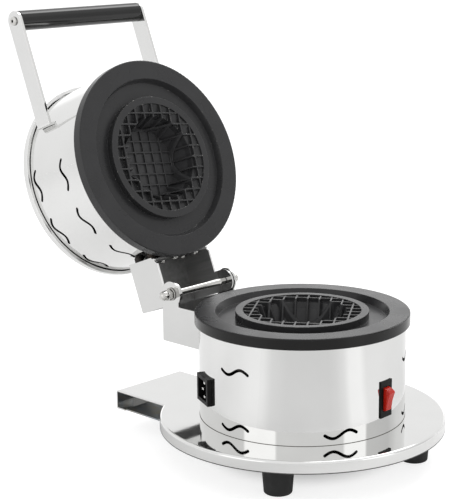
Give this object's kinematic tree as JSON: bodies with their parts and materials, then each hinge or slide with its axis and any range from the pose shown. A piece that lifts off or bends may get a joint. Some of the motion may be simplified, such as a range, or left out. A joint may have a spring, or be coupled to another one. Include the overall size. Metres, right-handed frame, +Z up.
{
  "type": "waffle cone maker",
  "caption": "Counter-top waffle press: a round polished base with a heated bowl mould, and a matching heated lid that swings open on a rear hinge by a bar handle.",
  "frame": {"origin": "on the floor, straight below the axis of the lower drum", "axes": "+Z up, -Y to the front where the switch is, +Y to the hinge, +X to the right seen from the front"},
  "size_m": [0.268, 0.4504, 0.405],
  "materials": {
    "polished_steel": "mirror-polished stainless sheet",
    "bright_hardware": "bright plated steel",
    "zinc_steel": "zinc-plated steel",
    "nonstick_cast": "cast aluminium with a satin black non-stick coat",
    "heater_sheath": "oxidised heater tube",
    "rubber_black": "moulded rubber",
    "grip_black": "glossy moulded phenolic",
    "inlet_black": "moulded nylon",
    "bezel_black": "moulded nylon",
    "rocker_red": "translucent red polycarbonate",
    "pin_metal": "nickel-plated brass",
    "sensor_ceramic": "unglazed steatite",
    "block_cream": "moulded polyamide"
  },
  "bodies": {
    "base": {"base_plate": "polished_steel", "lower_shell": "polished_steel", "lower_bracket": "polished_steel", "hinge_pin": "bright_hardware", "hinge_nuts": "bright_hardware", "hinge_washers": "bright_hardware", "lower_bracket_screws": "bright_hardware", "rear_brace": "zinc_steel", "foot_screws": "zinc_steel", "weld_nuts": "zinc_steel", "rear_foot_screw": "zinc_steel", "rear_foot_nut": "zinc_steel", "lower_tie_screws": "zinc_steel", "terminal_screws": "zinc_steel", "lower_spacers": "zinc_steel", "lower_bracket_nuts": "zinc_steel", "lower_bracket_spacers": "zinc_steel", "lower_heat_shield": "zinc_steel", "lower_mould": "nonstick_cast", "lower_heater": "heater_sheath", "feet": "rubber_black", "rear_foot": "rubber_black", "power_inlet": "inlet_black", "switch_housing": "bezel_black", "inlet_pins": "pin_metal", "thermostat": "sensor_ceramic", "terminal_block": "block_cream"},
    "lid": {"upper_shell": "polished_steel", "upper_cover": "polished_steel", "upper_mould": "nonstick_cast", "upper_heater": "heater_sheath", "upper_heat_shield": "zinc_steel", "upper_spacers": "zinc_steel", "upper_tie_screws": "bright_hardware", "upper_bracket": "polished_steel", "upper_bracket_screws": "bright_hardware", "upper_bracket_nuts": "zinc_steel", "upper_bracket_spacers": "zinc_steel", "handle_arm_left": "polished_steel", "handle_arm_right": "polished_steel", "handle_grip": "grip_black", "grip_screws": "bright_hardware"},
    "rocker": {"switch_rocker": "rocker_red"}
  },
  "joints": [
    {"name": "lid_hinge", "type": "hinge", "parent": "base", "child": "lid", "pos_m": [0, 0.1346, 0.1375], "axis": [1, 0, 0], "range_deg": [0, 111.5]},
    {"name": "rocker_pivot", "type": "hinge", "parent": "base", "child": "rocker", "pos_m": [0.00399, -0.09512, 0.0725], "axis": [-0.9991, -0.0419, 0], "range_deg": [0, 27]}
  ]
}
